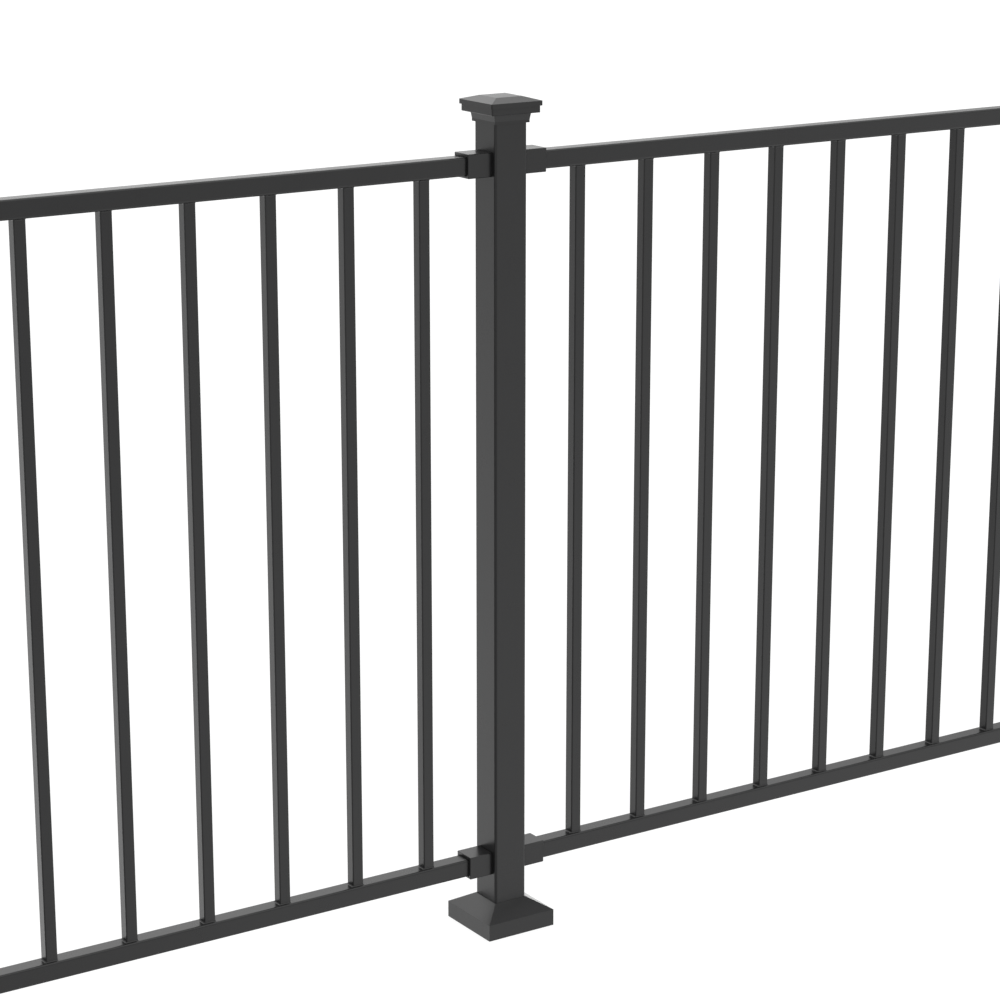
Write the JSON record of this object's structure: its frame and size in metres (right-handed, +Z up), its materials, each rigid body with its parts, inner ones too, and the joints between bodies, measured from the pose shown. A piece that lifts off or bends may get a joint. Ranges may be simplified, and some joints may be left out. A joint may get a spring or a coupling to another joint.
{
  "type": "guard railing",
  "caption": "Black metal guard railing: square posts with stepped caps and sloping base skirts, two rails held in socket brackets, and slim square balusters.",
  "frame": {"origin": "centre of the underside of the middle post's base plate, on the ground", "axes": "+X along the railing to the right as seen from the front, +Y to the back, +Z up"},
  "size_m": [3.7604, 0.1072, 1.162],
  "materials": {
    "tube": "satin",
    "casting": "satin"
  },
  "bodies": {
    "root": {"left_post": "tube", "left_base_plate": "tube", "left_base_skirt": "casting", "left_post_cap": "casting", "middle_post": "tube", "middle_base_plate": "tube", "middle_base_skirt": "casting", "middle_post_cap": "casting", "right_post": "tube", "right_base_plate": "tube", "right_base_skirt": "casting", "right_post_cap": "casting", "left_bay_bottom_rail": "tube", "left_bay_bottom_left_bracket": "casting", "left_bay_bottom_right_bracket": "casting", "left_bay_top_rail": "tube", "left_bay_top_left_bracket": "casting", "left_bay_top_right_bracket": "casting", "left_bay_balusters": "tube", "right_bay_bottom_rail": "tube", "right_bay_bottom_left_bracket": "casting", "right_bay_bottom_right_bracket": "casting", "right_bay_top_rail": "tube", "right_bay_top_left_bracket": "casting", "right_bay_top_right_bracket": "casting", "right_bay_balusters": "tube"}
  },
  "joints": []
}
